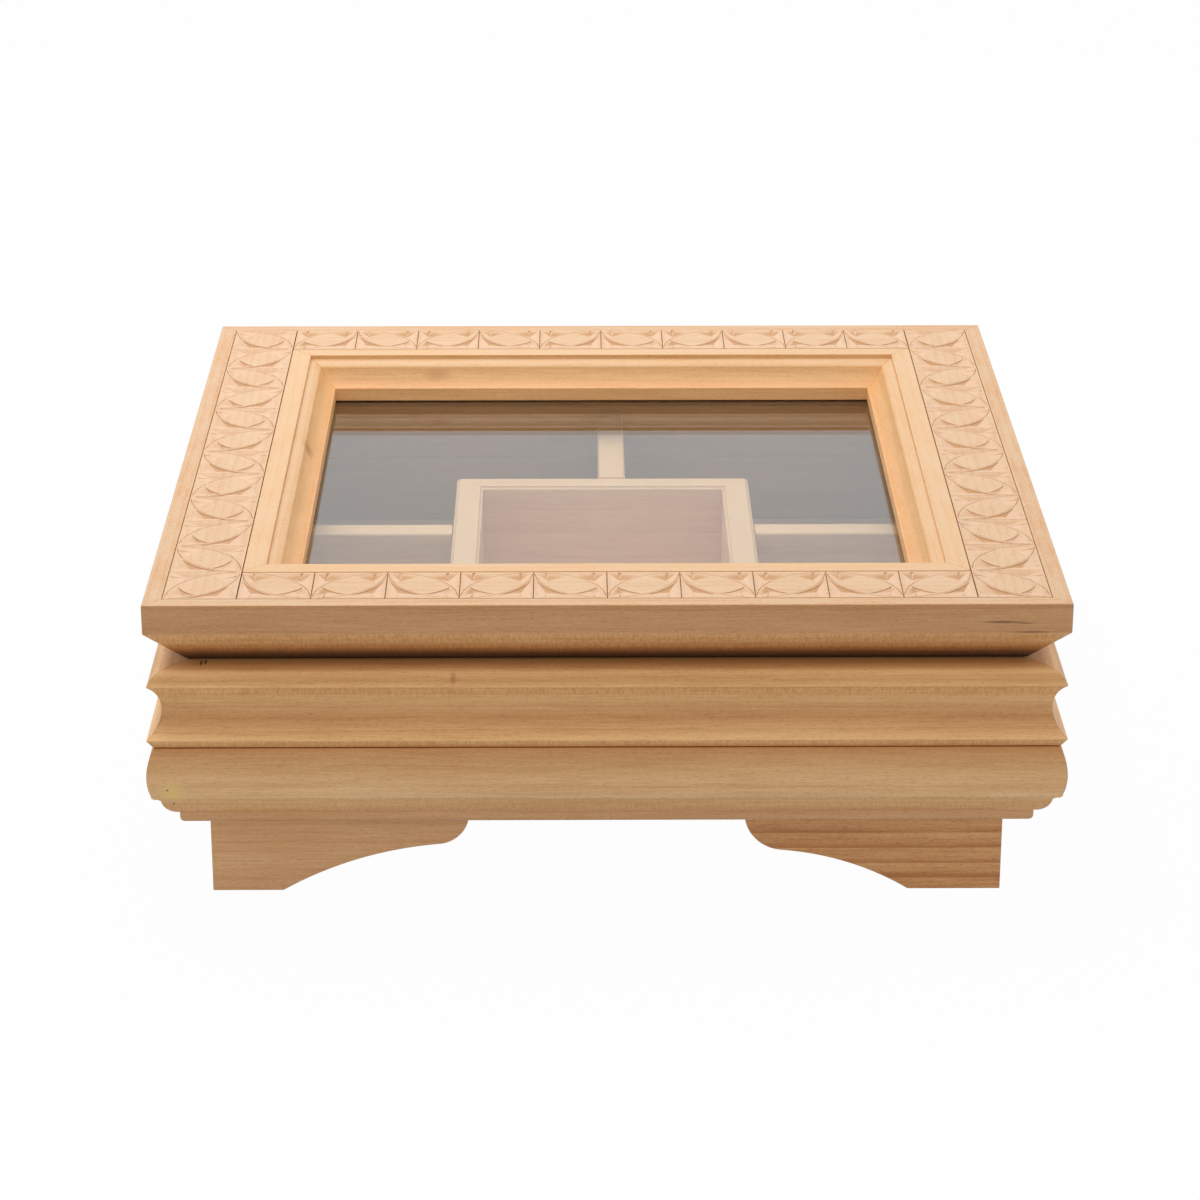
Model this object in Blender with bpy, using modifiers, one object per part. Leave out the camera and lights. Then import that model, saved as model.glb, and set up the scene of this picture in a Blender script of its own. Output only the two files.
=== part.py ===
"""A square wooden serving box for dried fruit, with a framed glass lid that opens on two hinges.

Units are metres, +Z is up and -Y is the front. The origin is on the ground, under the middle.
A place across the box is written as an inset: the distance in from the lid's outer edge.
"""

import math

import bmesh
import bpy
from mathutils import Matrix, Vector

# Driving sizes of the whole box
lid_side = 0.3000
foot_height = 0.0290
board_thickness = 0.0040
lower_height = 0.0259
upper_height = 0.0267
lid_thickness = 0.0235

# Clearances, shared by all pieces
seat_gap = 0.0003
mitre_gap = 0.0003
overrun = 0.0020
weld_distance = 0.00001

# Lid rails: a plain border, a groove for the carved band, and a sloped underside
lid_border = 0.0060
lid_face = 0.0100
lid_slope_inset = 0.0126
rebate_inset = 0.0383
rail_edge_round = 0.0008

# Carved bands, let into the rails' groove
band_width = 0.0240
band_thickness = 0.0060
front_score_depth = 0.0012
front_score_width = 0.0016
side_score_depth = 0.0006
side_score_width = 0.0008

# Sight moulding, which frames the glass
sight_shelf_drop = 0.0107
sight_drop = 0.0154
strip_width = 0.0075
strip_step = 0.0018
shoulder_width = 0.0040
shoulder_drop = 0.0036
shoulder_rise = 0.0004
sight_width = 0.0173
arris_drop = 0.0104
hollow_rise = 0.0008

# Glass and the beads that hold it up
glass_thickness = 0.0030
glass_clearance = 0.0010
glass_edge_round = 0.0004
bead_width = 0.0085
bead_height = 0.0040
bead_foot = 0.0030
bead_rise = 0.0010

# Walls: a deep hollow moulding over a swelling one
wall_inset = 0.0200
rim_level_inset = 0.0080
rim_inset = 0.0042
rim_fall = 0.0008
rim_round = 0.0050
rim_round_rise = 0.00045
upper_lip_inset = 0.0003
wall_hollow_rise = 0.00465
lower_lip_inset = -0.0004
lower_lip_height = 0.0032
wall_joint_inset = 0.0017
swell_rise = 0.0017
swell_height = 0.0164
swell_foot_inset = 0.0002
nose_inset = 0.0019
nose_drop = 0.0020
nose_rise = 0.0005
ovolo_inset = 0.0031
ovolo_drop = 0.0011
ovolo_rise = 0.00105
wall_foot_inset = 0.0085

# Bottom board
board_inset = 0.0088
board_round = 0.0026

# Partitions: a square tray frame in the middle and a divider to each wall
tray_side = 0.1090
partition_thickness = 0.0100
partition_height = 0.0447
partition_round = 0.0010
back_divider_shift = 0.0035

# Bracket feet
foot_inset = 0.0178
foot_length = 0.0862
foot_thickness = 0.0100
foot_pad = 0.0280
foot_waist_length = 0.0740
foot_waist_height = 0.0160
foot_waist_slope = math.radians(5)
foot_quarter = 0.0130
block_leg = 0.0240
block_nose = 0.0060
block_lift = 0.0040

# Butt hinges, let into the rim and into the lid's underside
hinge_offset = 0.0750
hinge_inset = 0.0065
hinge_length = 0.0300
leaf_depth = 0.0115
leaf_thickness = 0.0010
barrel_radius = 0.0022
pin_radius = 0.0009
pin_clearance = 0.0003
knuckle_gap = 0.0003
pin_head_radius = 0.0017
pin_head_length = 0.0008
screw_end = 0.0060
screw_length = 0.0080
screw_head_radius = 0.0019
screw_shank_radius = 0.0009
screw_point = 0.0025
screw_clearance = 0.0003

# Counts
knuckle_count = 5
arc_steps = 6
hollow_steps = 12
round_steps = 4
barrel_steps = 24
bore_steps = 16
screw_steps = 16
smooth_angle = math.radians(35)

# Heights that follow, from the ground up
board_top = foot_height + board_thickness
lower_bottom = board_top + seat_gap
lower_top = lower_bottom + lower_height
upper_bottom = lower_top + seat_gap
upper_top = upper_bottom + upper_height
lid_underside = upper_top + seat_gap
lid_top = lid_underside + lid_thickness
band_bed = lid_top - band_thickness - seat_gap
sight_bottom = lid_top - sight_drop
glass_top = sight_bottom - seat_gap
bead_top = glass_top - glass_thickness - seat_gap

# Places across that follow
lid_half = lid_side / 2
sight_inset = lid_border + band_width
sight_edge_inset = sight_inset + sight_width
foot_half = lid_half - foot_inset
tray_inset = lid_half - tray_side / 2
axis_height = (upper_top + lid_underside) / 2
axis_depth = lid_half - hinge_inset
bore_radius = pin_radius + pin_clearance
barrel_clear = barrel_radius + knuckle_gap
leaf_face = seat_gap / 2
screw_depth = (barrel_clear + leaf_depth) / 2

sides = ("front", "right", "back", "left")
quarter_turn = math.pi / 2


def clear_scene():
    for thing in list(bpy.data.objects):
        bpy.data.objects.remove(thing, do_unlink=True)


def new_collection(name):
    collection = bpy.data.collections.new(name)
    bpy.context.scene.collection.children.link(collection)
    return collection


def bow(start, end, rise, steps=arc_steps):
    """The arc from start to end that stands rise off its chord, on the left of the way along it.

    A negative rise bows the arc to the right. The start point itself is left out.
    """
    start, end = Vector(start), Vector(end)
    chord = end - start
    half = chord.length / 2
    left = Vector((-chord.y, chord.x)).normalized()
    hand = math.copysign(1, rise)
    radius = (half * half + rise * rise) / (2 * abs(rise))
    centre = (start + end) / 2 + left * (rise - hand * radius)
    turn = -2 * hand * math.asin(min(1, half / radius))
    spoke = start - centre
    return [centre + Matrix.Rotation(turn * i / steps, 2) @ spoke for i in range(1, steps + 1)]


def circle(radius, steps):
    return [
        (radius * math.cos(math.tau * i / steps), radius * math.sin(math.tau * i / steps))
        for i in range(steps)
    ]


def extruded(outlines, depth):
    """A mesh of flat closed outlines, the first the edge and the rest its holes, given a depth along Z."""
    curve = bpy.data.curves.new("outline", "CURVE")
    curve.dimensions = "2D"
    curve.fill_mode = "BOTH"
    curve.extrude = depth / 2
    for outline in outlines:
        spline = curve.splines.new("POLY")
        spline.points.add(len(outline) - 1)
        for point, (across, up) in zip(spline.points, outline):
            point.co = (across, up, 0, 1)
        spline.use_cyclic_u = True
    holder = bpy.data.objects.new("outline", curve)
    bpy.context.scene.collection.objects.link(holder)
    depsgraph = bpy.context.evaluated_depsgraph_get()
    mesh = bpy.data.meshes.new_from_object(holder.evaluated_get(depsgraph))
    bpy.data.objects.remove(holder)
    bm = bmesh.new()
    bm.from_mesh(mesh)
    bmesh.ops.remove_doubles(bm, verts=bm.verts, dist=weld_distance)
    bmesh.ops.recalc_face_normals(bm, faces=bm.faces)
    bm.to_mesh(mesh)
    bm.free()
    return mesh


def cut_ends(mesh, planes):
    """Cuts a mesh along planes, given as a normal and a distance, and keeps what lies behind them."""
    bm = bmesh.new()
    bm.from_mesh(mesh)
    for normal, distance in planes:
        normal = Vector(normal).normalized()
        cut = bmesh.ops.bisect_plane(
            bm,
            geom=bm.verts[:] + bm.edges[:] + bm.faces[:],
            dist=weld_distance,
            plane_co=normal * distance,
            plane_no=normal,
            clear_outer=True,
        )
        rim = [edge for edge in cut["geom_cut"] if isinstance(edge, bmesh.types.BMEdge)]
        bmesh.ops.holes_fill(bm, edges=rim, sides=0)
    bmesh.ops.recalc_face_normals(bm, faces=bm.faces)
    bm.to_mesh(mesh)
    bm.free()
    return mesh


def mitred_stick(profile):
    """A stick along the front, from a profile of insets and heights, mitred at both ends."""
    mesh = extruded([profile], lid_side + 2 * overrun)
    mesh.transform(Matrix(((0, 0, 1, 0), (1, 0, 0, -lid_half), (0, 1, 0, 0), (0, 0, 0, 1))))
    return cut_ends(mesh, [((1, 1, 0), -mitre_gap / 2), ((-1, 1, 0), -mitre_gap / 2)])


def upright(mesh):
    """Turns a mesh whose outline was drawn flat so that the outline stands up and faces the front."""
    mesh.transform(Matrix.Rotation(quarter_turn, 4, "X"))
    return mesh


def moved(mesh, x, y, z):
    mesh.transform(Matrix.Translation((x, y, z)))
    return mesh


def block(low, high):
    """A plain box between two corners."""
    low, high = Vector(low), Vector(high)
    size = high - low
    place = Matrix.Translation((low + high) / 2) @ Matrix.Diagonal((*size, 1))
    bm = bmesh.new()
    bmesh.ops.create_cube(bm, size=1, matrix=place)
    mesh = bpy.data.meshes.new("block")
    bm.to_mesh(mesh)
    bm.free()
    return mesh


def finish(name, colour, roughness, metallic=0.0, transmission=0.0):
    """A material of the piece's own, in linear colour."""
    material = bpy.data.materials.new(name)
    material.use_nodes = True
    shader = material.node_tree.nodes["Principled BSDF"]
    shader.inputs["Base Color"].default_value = (*colour, 1)
    shader.inputs["Roughness"].default_value = roughness
    shader.inputs["Metallic"].default_value = metallic
    shader.inputs["Transmission Weight"].default_value = transmission
    material.diffuse_color = (*colour, 1)
    return material


def pale_wood(name):
    return finish(name, (0.84, 0.58, 0.34), 0.55)


def shaded_wood(name):
    return finish(name, (0.66, 0.42, 0.22), 0.55)


def yellow_brass(name):
    return finish(name, (0.72, 0.52, 0.22), 0.30, metallic=1.0)


def clear_glass(name):
    return finish(name, (0.95, 0.97, 0.96), 0.02, transmission=1.0)


def add_part(name, mesh, material, carrier=None, turn=0.0):
    """Puts one named sub-part in the model, turned about the middle of the box, on what carries it."""
    part_mesh = mesh.copy()
    part_mesh.name = name
    part_mesh.materials.clear()
    part_mesh.materials.append(material(name))
    part_mesh.shade_smooth()
    part_mesh.set_sharp_from_angle(angle=smooth_angle)
    piece = bpy.data.objects.new(name, part_mesh)
    piece.rotation_euler.z = turn
    dish.objects.link(piece)
    if carrier is not None:
        piece.parent = carrier
        piece.matrix_parent_inverse = Matrix.Translation(carrier.location).inverted()
    return piece


def add_cutter(name, mesh):
    """A helper shape that cuts or joins other pieces and isn't part of the box."""
    cutter = bpy.data.objects.new(name, mesh)
    cutter.hide_render = True
    cutter.display_type = "WIRE"
    cutters.objects.link(cutter)
    return cutter


def combine(piece, helper, operation="DIFFERENCE"):
    boolean = piece.modifiers.new(helper.name, "BOOLEAN")
    boolean.operation = operation
    boolean.solver = "EXACT"
    boolean.object = helper


def turned(piece, steps):
    """Turns a profile about its own Z axis."""
    screw = piece.modifiers.new("turned", "SCREW")
    screw.axis = "Z"
    screw.steps = steps
    screw.render_steps = steps
    screw.use_merge_vertices = True
    screw.merge_threshold = weld_distance
    screw.use_smooth_shade = True


def profile_mesh(points):
    """A line of points, as radius and height, for a piece that is turned."""
    bm = bmesh.new()
    line = [bm.verts.new((radius, 0, height)) for radius, height in points]
    for lower, upper in zip(line, line[1:]):
        bm.edges.new((lower, upper))
    mesh = bpy.data.meshes.new("profile")
    bm.to_mesh(mesh)
    bm.free()
    return mesh


def rail_profile():
    shelf = lid_top - sight_shelf_drop
    return [
        (rail_edge_round, lid_top),
        (lid_border, lid_top),
        (lid_border, band_bed),
        (sight_inset, band_bed),
        (sight_inset, shelf),
        (rebate_inset, shelf),
        (rebate_inset, lid_underside),
        (lid_slope_inset, lid_underside),
        (0, lid_top - lid_face),
        *bow((0, lid_top - rail_edge_round), (rail_edge_round, lid_top), rail_edge_round / 4, round_steps),
    ]


def sight_profile():
    """A flat strip, a small round shoulder, a hollow down to the arris, and an upright lip."""
    outer = sight_inset + seat_gap
    step = (sight_inset + strip_width, lid_top - strip_step)
    shoulder = (step[0] + shoulder_width, lid_top - shoulder_drop)
    arris = (sight_edge_inset, lid_top - arris_drop)
    return [
        (outer, lid_top),
        (sight_inset + strip_width, lid_top),
        step,
        *bow(step, shoulder, shoulder_rise),
        *bow(shoulder, arris, -hollow_rise),
        (sight_edge_inset, sight_bottom),
        (rebate_inset + seat_gap, sight_bottom),
        (rebate_inset + seat_gap, lid_top - sight_shelf_drop + seat_gap),
        (outer, lid_top - sight_shelf_drop + seat_gap),
    ]


def bead_profile():
    back = rebate_inset + seat_gap
    edge = (back + bead_width, bead_top)
    foot = (back + bead_foot, bead_top - bead_height)
    return [(back, bead_top), edge, *bow(edge, foot, -bead_rise), (back, bead_top - bead_height)]


def upper_profile():
    """Level rim with an eased front, sharp lip, deep hollow, lower lip and a slope back to the joint."""
    rim = (rim_inset, upper_top - rim_fall)
    lip = (upper_lip_inset, upper_top - rim_round)
    lower_lip = (lower_lip_inset, upper_bottom + lower_lip_height)
    return [
        (wall_inset, upper_top),
        (rim_level_inset, upper_top),
        rim,
        *bow(rim, lip, -rim_round_rise),
        *bow(lip, lower_lip, wall_hollow_rise, hollow_steps),
        (wall_joint_inset, upper_bottom),
        (wall_inset, upper_bottom),
    ]


def lower_profile():
    """A long swelling that turns under at a round nose, and an ovolo down to the bottom board."""
    joint = (wall_joint_inset, lower_top)
    swell_foot = (swell_foot_inset, lower_top - swell_height)
    nose = (nose_inset, swell_foot[1] - nose_drop)
    ovolo = (ovolo_inset, nose[1] - ovolo_drop)
    return [
        (wall_inset, lower_top),
        joint,
        *bow(joint, swell_foot, -swell_rise, hollow_steps),
        *bow(swell_foot, nose, -nose_rise),
        ovolo,
        *bow(ovolo, (wall_foot_inset, lower_bottom), -ovolo_rise),
        (wall_inset, lower_bottom),
    ]


def partition_outline(left, right):
    """A partition's section: square below, with both top edges rounded."""
    top = lower_bottom + partition_height
    rise = partition_round * (math.sqrt(2) - 1) / math.sqrt(2)
    start, end = (left, top - partition_round), (left + partition_round, top)
    far_start, far_end = (right - partition_round, top), (right, top - partition_round)
    return [
        (left, lower_bottom),
        start,
        *bow(start, end, rise, round_steps),
        far_start,
        *bow(far_start, far_end, rise, round_steps),
        (right, lower_bottom),
    ]


def add_ring(name, profile, material, carrier=None):
    """Four mitred sticks of one profile, one to a side."""
    mesh = mitred_stick(profile)
    return [
        add_part(f"{name}_{side}", mesh, material, carrier, quarter_turn * i)
        for i, side in enumerate(sides)
    ]


def scored_strip(length, cells, depth, width):
    """A flat strip along X with a V-shaped score across it between each two cells."""
    top, bottom = band_thickness, 0
    outline = [(-length / 2, bottom), (-length / 2, top)]
    for i in range(1, cells):
        place = -length / 2 + length * i / cells
        outline += [(place - width / 2, top), (place, top - depth), (place + width / 2, top)]
    outline += [(length / 2, top), (length / 2, bottom)]
    mesh = upright(extruded([outline], band_width - 2 * seat_gap))
    return moved(mesh, 0, -lid_half + lid_border + band_width / 2, lid_top - band_thickness)


def add_carved_bands(lid):
    """The side bands run the full length. The front and back bands fit between them."""
    long_band = lid_side - 2 * lid_border
    short_band = long_band - 2 * band_width
    cells = round(long_band / band_width)
    side_strip = scored_strip(long_band - 2 * seat_gap, cells, side_score_depth, side_score_width)
    front_strip = scored_strip(short_band - 2 * seat_gap, cells - 2, front_score_depth, front_score_width)
    for i, side in enumerate(sides):
        strip = front_strip if side in ("front", "back") else side_strip
        add_part(f"carved_band_{side}", strip, pale_wood, lid, quarter_turn * i)


def add_glass(lid):
    reach = lid_half - rebate_inset - glass_clearance
    pane = block((-reach, -reach, glass_top - glass_thickness), (reach, reach, glass_top))
    glass = add_part("glass_pane", pane, clear_glass, lid)
    edge = glass.modifiers.new("ground edge", "BEVEL")
    edge.width = glass_edge_round
    edge.segments = 1


def add_bottom_board():
    reach = lid_half - board_inset
    mesh = block((-reach, -reach, foot_height), (reach, reach, board_top))
    bm = bmesh.new()
    bm.from_mesh(mesh)
    level = foot_height + weld_distance
    under = [edge for edge in bm.edges if all(vert.co.z < level for vert in edge.verts)]
    bmesh.ops.bevel(
        bm,
        geom=under,
        offset=board_round,
        offset_type="OFFSET",
        affect="EDGES",
        segments=round_steps,
        profile=0.5,
        material=-1,
    )
    bm.to_mesh(mesh)
    bm.free()
    add_part("bottom_board", mesh, shaded_wood)


def add_dividers():
    """A divider from the tray frame to the middle of each wall."""
    near = wall_inset + seat_gap
    far = tray_inset - seat_gap
    outline = partition_outline(-partition_thickness / 2, partition_thickness / 2)
    mesh = moved(upright(extruded([outline], far - near)), 0, (near + far) / 2 - lid_half, 0)
    shifted = moved(mesh.copy(), -back_divider_shift, 0, 0)
    for i, side in enumerate(sides):
        add_part(f"divider_{side}", shifted if side == "back" else mesh, pale_wood, turn=quarter_turn * i)


def foot_outline():
    """The sawn outline of a bracket, from its corner: a flat pad, a long sweep and a quarter hollow."""
    top = foot_height - seat_gap
    waist = Vector((foot_waist_length, foot_waist_height))
    along = Vector((math.cos(foot_waist_slope), math.sin(foot_waist_slope)))
    pad = Vector((foot_pad, 0))
    sweep = waist - pad
    off_tangent = sweep.x * along.y - sweep.y * along.x
    sweep_radius = sweep.length_squared / (2 * abs(off_tangent))
    half_turn = math.asin(sweep.length / 2 / sweep_radius)
    sweep_rise = sweep_radius * (1 - math.cos(half_turn))
    quarter_end = Vector((foot_length, min(top, foot_waist_height + foot_quarter)))
    quarter_rise = -(quarter_end - waist).length * (math.sqrt(2) - 1) / 2
    return [
        (0, 0),
        tuple(pad),
        *bow(pad, waist, sweep_rise),
        *bow(waist, quarter_end, quarter_rise),
        (foot_length, top),
        (0, top),
    ]


def add_feet():
    """Two mitred brackets at each corner, and the block glued behind them."""
    outline = foot_outline()
    back = -foot_half + foot_thickness / 2
    left = moved(upright(extruded([outline], foot_thickness)), -foot_half, back, 0)
    cut_ends(left, [((-1, 1, 0), -mitre_gap / 2)])
    mirrored = [(-across, up) for across, up in reversed(outline)]
    right = moved(upright(extruded([mirrored], foot_thickness)), foot_half, back, 0)
    cut_ends(right, [((1, 1, 0), -mitre_gap / 2)])
    corner = -foot_half + foot_thickness + seat_gap
    plan = [(0, 0), (block_leg, 0), (block_leg, block_nose), (block_nose, block_leg), (0, block_leg)]
    height = foot_height - seat_gap - block_lift
    glue_block = moved(extruded([plan], height), corner, corner, block_lift + height / 2)
    for i, side in enumerate(sides):
        before, after = sides[i - 1], sides[(i + 1) % len(sides)]
        add_part(f"foot_{side}_at_{before}", left, shaded_wood, turn=quarter_turn * i)
        add_part(f"foot_{side}_at_{after}", right, shaded_wood, turn=quarter_turn * i)
        add_part(f"glue_block_{side}_{before}", glue_block, shaded_wood, turn=quarter_turn * i)


def knuckle_spans():
    """Start and end of each knuckle along the hinge, measured from its middle."""
    length = (hinge_length - (knuckle_count - 1) * knuckle_gap) / knuckle_count
    starts = [-hinge_length / 2 + i * (length + knuckle_gap) for i in range(knuckle_count)]
    return [(start, start + length) for start in starts]


def leaf_plan(first):
    """The leaf's comb outline: its teeth reach into its own knuckles and clear the others."""
    tooth = (barrel_radius + bore_radius) / 2
    outline = [(-hinge_length / 2, -leaf_depth), (hinge_length / 2, -leaf_depth)]
    for i, (start, end) in reversed(list(enumerate(knuckle_spans()))):
        if i % 2 == first:
            outline += [(end, -tooth), (start, -tooth)]
        else:
            outline += [(end + knuckle_gap, -barrel_clear), (start - knuckle_gap, -barrel_clear)]
    return outline


def add_leaf(name, first, up, place, carrier=None):
    """One hinge leaf with its knuckles and two countersunk holes. up is 1 on the lid and -1 on the box."""
    plate = moved(extruded([leaf_plan(first)], leaf_thickness), 0, 0, up * (leaf_face + leaf_thickness / 2))
    leaf = add_part(name, moved(plate, *place), yellow_brass, carrier)
    for i, (start, end) in enumerate(knuckle_spans()):
        if i % 2 == first:
            rings = [circle(barrel_radius, barrel_steps), circle(bore_radius, bore_steps)]
            ring = extruded(rings, end - start)
            ring.transform(Matrix.Rotation(quarter_turn, 4, "Y"))
            ring = moved(moved(ring, (start + end) / 2, 0, 0), *place)
            combine(leaf, add_cutter(f"{name}_knuckle_{i}", ring), "UNION")
    hole = [
        (0, overrun),
        (screw_head_radius + screw_clearance, overrun),
        (screw_head_radius + screw_clearance, 0),
        (screw_shank_radius + screw_clearance, -leaf_thickness),
        (screw_shank_radius + screw_clearance, -leaf_thickness - overrun),
        (0, -leaf_thickness - overrun),
    ]
    for i, screw_place in enumerate(screw_places(place, up)):
        cutter = add_cutter(f"{name}_hole_{i + 1}", profile_mesh(hole))
        cutter.matrix_world = screw_place
        turned(cutter, screw_steps)
        combine(leaf, cutter)


def screw_places(place, up):
    """Where a leaf's two screws go. Each runs down its own -Z, from the leaf's face into the wood."""
    x, y, z = place
    turn = Matrix.Rotation(math.pi, 4, "X") if up > 0 else Matrix.Identity(4)
    reach = hinge_length / 2 - screw_end
    return [
        Matrix.Translation((x + hand * reach, y - screw_depth, z + up * leaf_face)) @ turn
        for hand in (-1, 1)
    ]


def add_screws(name, place, up, wood, carrier=None):
    """Two countersunk screws, each with its pilot hole in the wood."""
    outline = [
        (0, 0),
        (screw_head_radius, 0),
        (screw_shank_radius, -leaf_thickness),
        (screw_shank_radius, -screw_length + screw_point),
        (0, -screw_length),
    ]
    pilot = [
        (0, 0),
        (screw_shank_radius + screw_clearance, 0),
        (screw_shank_radius + screw_clearance, -screw_length - screw_clearance),
        (0, -screw_length - screw_clearance),
    ]
    for i, screw_place in enumerate(screw_places(place, up)):
        screw = add_part(f"{name}_{i + 1}", profile_mesh(outline), yellow_brass, carrier)
        screw.matrix_basis = screw_place
        turned(screw, screw_steps)
        cutter = add_cutter(f"{name}_{i + 1}_pilot", profile_mesh(pilot))
        cutter.matrix_world = screw_place
        turned(cutter, screw_steps)
        combine(wood, cutter)


def add_pin(name, place):
    """The hinge pin, with a low head at each end of the barrel."""
    reach = hinge_length / 2 + knuckle_gap
    outline = [
        (0, reach + pin_head_length),
        (pin_head_radius, reach + pin_head_length / 2),
        (pin_head_radius, reach),
        (pin_radius, reach),
        (pin_radius, -reach),
        (pin_head_radius, -reach),
        (pin_head_radius, -reach - pin_head_length / 2),
        (0, -reach - pin_head_length),
    ]
    pin = add_part(name, profile_mesh(outline), yellow_brass)
    pin.matrix_world = Matrix.Translation(place) @ Matrix.Rotation(quarter_turn, 4, "Y")
    turned(pin, barrel_steps)


def cut_gains(name, place, rim, rail):
    """The shallow pockets that the leaves and the barrel lie in."""
    x, y, z = place
    along = hinge_length / 2 + seat_gap
    across = leaf_depth + seat_gap
    deep = leaf_face + leaf_thickness + seat_gap
    pin_along = hinge_length / 2 + knuckle_gap + pin_head_length + seat_gap
    outside = hinge_inset + overrun
    leaf_gain = block((x - along, y - across, z - deep), (x + along, y + outside, z + overrun))
    barrel_low = (x - pin_along, y - barrel_clear, z - barrel_clear)
    barrel_gain = block(barrel_low, (x + pin_along, y + outside, z + overrun))
    lid_gain = block((x - along, y - across, z - overrun), (x + along, y + outside, z + deep))
    combine(rim, add_cutter(f"{name}_rim_gain", leaf_gain))
    combine(rim, add_cutter(f"{name}_barrel_gain", barrel_gain))
    combine(rail, add_cutter(f"{name}_lid_gain", lid_gain))


def add_hinges(lid, rim, rail):
    for name, hand in (("hinge_left", -1), ("hinge_right", 1)):
        place = (hand * hinge_offset, axis_depth, axis_height)
        cut_gains(name, place, rim, rail)
        add_leaf(f"{name}_box_leaf", 0, -1, place)
        add_leaf(f"{name}_lid_leaf", 1, 1, place, lid)
        add_screws(f"{name}_box_screw", place, -1, rim)
        add_screws(f"{name}_lid_screw", place, 1, rail, lid)
        add_pin(f"{name}_pin", place)


clear_scene()
dish = new_collection("dried_fruit_dish")
cutters = new_collection("cutters")

lid = bpy.data.objects.new("lid_hinge_axis", None)
lid.location = (0, axis_depth, axis_height)
dish.objects.link(lid)

rails = add_ring("lid_rail", rail_profile(), pale_wood, lid)
add_carved_bands(lid)
add_ring("sight_moulding", sight_profile(), pale_wood, lid)
add_glass(lid)
add_ring("glazing_bead", bead_profile(), pale_wood, lid)

uppers = add_ring("upper_moulding", upper_profile(), shaded_wood)
add_ring("lower_moulding", lower_profile(), shaded_wood)
add_bottom_board()
add_ring("tray_wall", partition_outline(tray_inset, tray_inset + partition_thickness), pale_wood)
add_dividers()
add_feet()

back = sides.index("back")
add_hinges(lid, uppers[back], rails[back])

print(f"{len(dish.objects) - 1} pieces, {lid_side * 1000:.0f} mm square, {lid_top * 1000:.1f} mm high")
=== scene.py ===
# %% [markdown]
# # A carved beech box with a glass lid
#
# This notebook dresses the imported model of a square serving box. The lid is a framed pane of glass
# with a band of chip carving, and the box is a hollow moulding over a swelling one, on bracket feet.
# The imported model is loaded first. It's the fixed frame: each new piece takes its place from it.

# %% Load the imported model
import math

import bmesh
import bpy
from mathutils import Matrix, Vector


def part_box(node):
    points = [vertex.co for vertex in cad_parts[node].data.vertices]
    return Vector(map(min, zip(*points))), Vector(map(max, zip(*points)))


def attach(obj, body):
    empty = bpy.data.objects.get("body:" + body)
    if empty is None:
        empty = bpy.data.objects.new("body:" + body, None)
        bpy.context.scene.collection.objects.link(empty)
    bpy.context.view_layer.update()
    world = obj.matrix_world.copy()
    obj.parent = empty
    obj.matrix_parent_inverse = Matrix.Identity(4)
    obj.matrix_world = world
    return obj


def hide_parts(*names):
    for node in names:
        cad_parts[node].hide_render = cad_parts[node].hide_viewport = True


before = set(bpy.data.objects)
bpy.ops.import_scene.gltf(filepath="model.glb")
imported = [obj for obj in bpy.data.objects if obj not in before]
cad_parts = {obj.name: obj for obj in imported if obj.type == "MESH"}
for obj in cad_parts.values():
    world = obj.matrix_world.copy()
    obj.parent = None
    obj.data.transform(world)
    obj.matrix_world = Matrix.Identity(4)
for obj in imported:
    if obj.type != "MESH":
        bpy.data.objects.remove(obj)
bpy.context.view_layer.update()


# %% Helpers for meshes and objects
def add_object(name, data):
    """Puts mesh, lamp or camera data in the scene."""
    made = bpy.data.objects.new(name, data)
    bpy.context.scene.collection.objects.link(made)
    return made


def mesh_of(bm, name):
    """Turns a bmesh into a mesh, and frees it."""
    mesh = bpy.data.meshes.new(name)
    bm.to_mesh(mesh)
    bm.free()
    return mesh


def verts_in(geometry):
    return [part for part in geometry if isinstance(part, bmesh.types.BMVert)]


# %% [markdown]
# ## Camera
#
# The photograph was taken with a long lens from a little above. The lens, the place and the three
# angles were solved from the corners of the lid, so the picture's edges fall where the photograph's
# do. Long lenses keep the sides nearly parallel, which is why the lid looks so regular.

# %% Camera
camera_lens = 110.57
film_width = 36
camera_place = (-0.01085, -1.24897, 0.54743)
camera_tilt = math.radians(21.623)
camera_heading = math.radians(0.4375)
camera_roll = math.radians(0.0367)

camera_data = bpy.data.cameras.new("camera")
camera_data.lens = camera_lens
camera_data.sensor_width = film_width
camera = add_object("camera", camera_data)
aim = Matrix.Rotation(-camera_heading, 4, "Z") @ Matrix.Rotation(math.pi / 2 - camera_tilt, 4, "X")
camera.matrix_world = Matrix.Translation(camera_place) @ aim @ Matrix.Rotation(camera_roll, 4, "Z")
bpy.context.scene.camera = camera
bpy.context.scene.view_settings.view_transform = "Standard"
print("camera", [round(value, 3) for value in camera_place])

# %% [markdown]
# ## Helpers for materials
#
# A material is a small net of nodes. One function adds any node, sets its properties and fills its
# sockets with values or with links from other nodes. A few more do sums with it. Another turns the
# colours, which are written as sRGB hex like those of a paint chart, into the linear light that
# shaders count in.


# %% Node and colour helpers
def linear(code):
    """An sRGB hex colour as linear light, with an alpha of 1."""
    parts = [int(code[i : i + 2], 16) / 255 for i in (1, 3, 5)]
    light = [part / 12.92 if part <= 0.04045 else ((part + 0.055) / 1.055) ** 2.4 for part in parts]
    return light + [1]


def add_node(tree, kind, inputs=None, **settings):
    """Adds a node. inputs fills its sockets, by name or number, with values or other sockets."""
    made = tree.nodes.new(kind)
    for name, value in settings.items():
        setattr(made, name, value)
    for name, value in (inputs or {}).items():
        if isinstance(value, bpy.types.NodeSocket):
            tree.links.new(value, made.inputs[name])
        else:
            made.inputs[name].default_value = value
    return made


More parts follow.
